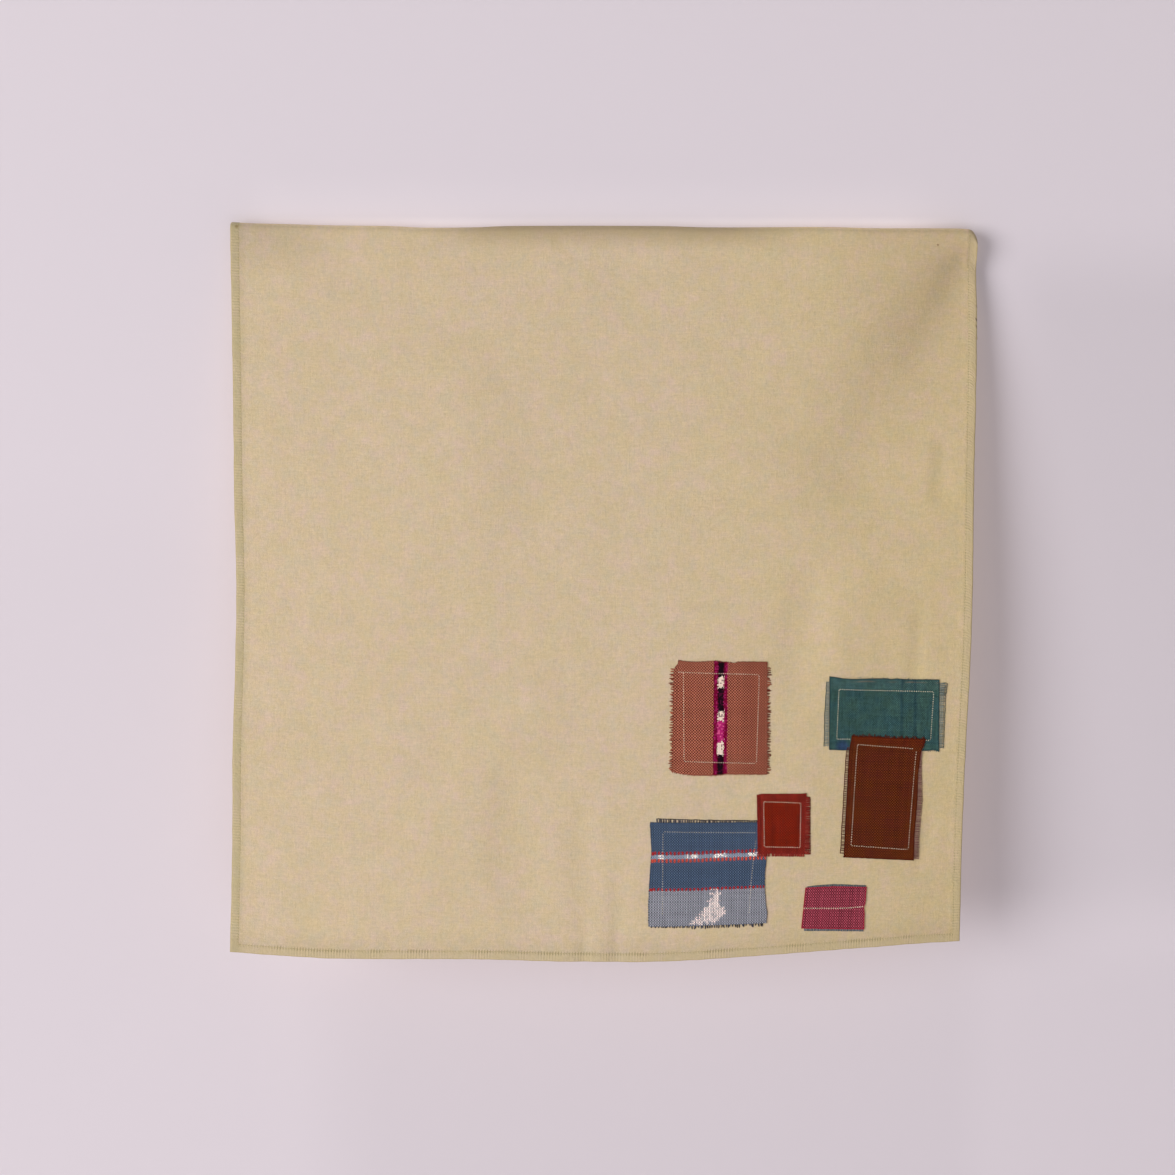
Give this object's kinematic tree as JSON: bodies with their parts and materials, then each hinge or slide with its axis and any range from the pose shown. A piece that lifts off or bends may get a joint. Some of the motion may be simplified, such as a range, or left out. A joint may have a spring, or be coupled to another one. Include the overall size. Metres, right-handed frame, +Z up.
{
  "type": "furoshiki",
  "caption": "Almost square wrapping cloth of beige cotton with narrow hems and frayed patches sewn on near one corner, hung over a soft fold along its top.",
  "frame": {"origin": "middle of the top fold, on the underside of the fold, where what the cloth hangs over bears", "axes": "+X to the right as seen from the front, +Z up, and the front with the patches faces -Y"},
  "size_m": [0.7035, 0.0318, 0.6941],
  "materials": {
    "beige_cotton": "matt plain weave",
    "salmon_twill": "matt twill",
    "teal_cotton": "matt plain weave",
    "brown_cotton": "matt plain weave",
    "red_cotton": "matt plain weave",
    "blue_rib": "matt ribbed weave",
    "magenta_cotton": "matt open weave",
    "thread": "matt sewing thread"
  },
  "bodies": {
    "root": {"cloth": "beige_cotton", "patch_salmon": "salmon_twill", "patch_teal": "teal_cotton", "patch_brown": "brown_cotton", "patch_red": "red_cotton", "patch_blue": "blue_rib", "patch_magenta": "magenta_cotton"}
  },
  "joints": []
}
